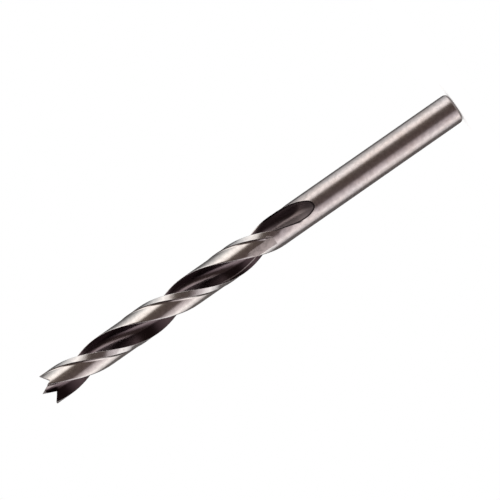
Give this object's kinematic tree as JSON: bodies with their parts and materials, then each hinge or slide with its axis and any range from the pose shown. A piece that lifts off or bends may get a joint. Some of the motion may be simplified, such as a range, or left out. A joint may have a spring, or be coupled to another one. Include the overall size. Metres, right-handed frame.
{
  "type": "brad point drill bit",
  "caption": "Short steel wood drill bit with a centre point, raised outer spurs, twisted open flutes with narrow margins and a plain round shank with a rounded end.",
  "frame": {"origin": "centre of the flat end of the shank, on the bit's axis", "axes": "+Z along the bit's axis from the shank end to the centre point; the two flutes run out into the shank between +X and -Y, and between -X and +Y"},
  "size_m": [0.006, 0.006, 0.092],
  "materials": {
    "tool_steel": "ground bright on the shank, lands and margins, black in the flutes"
  },
  "bodies": {
    "root": {"drill_bit": "tool_steel"}
  },
  "joints": []
}
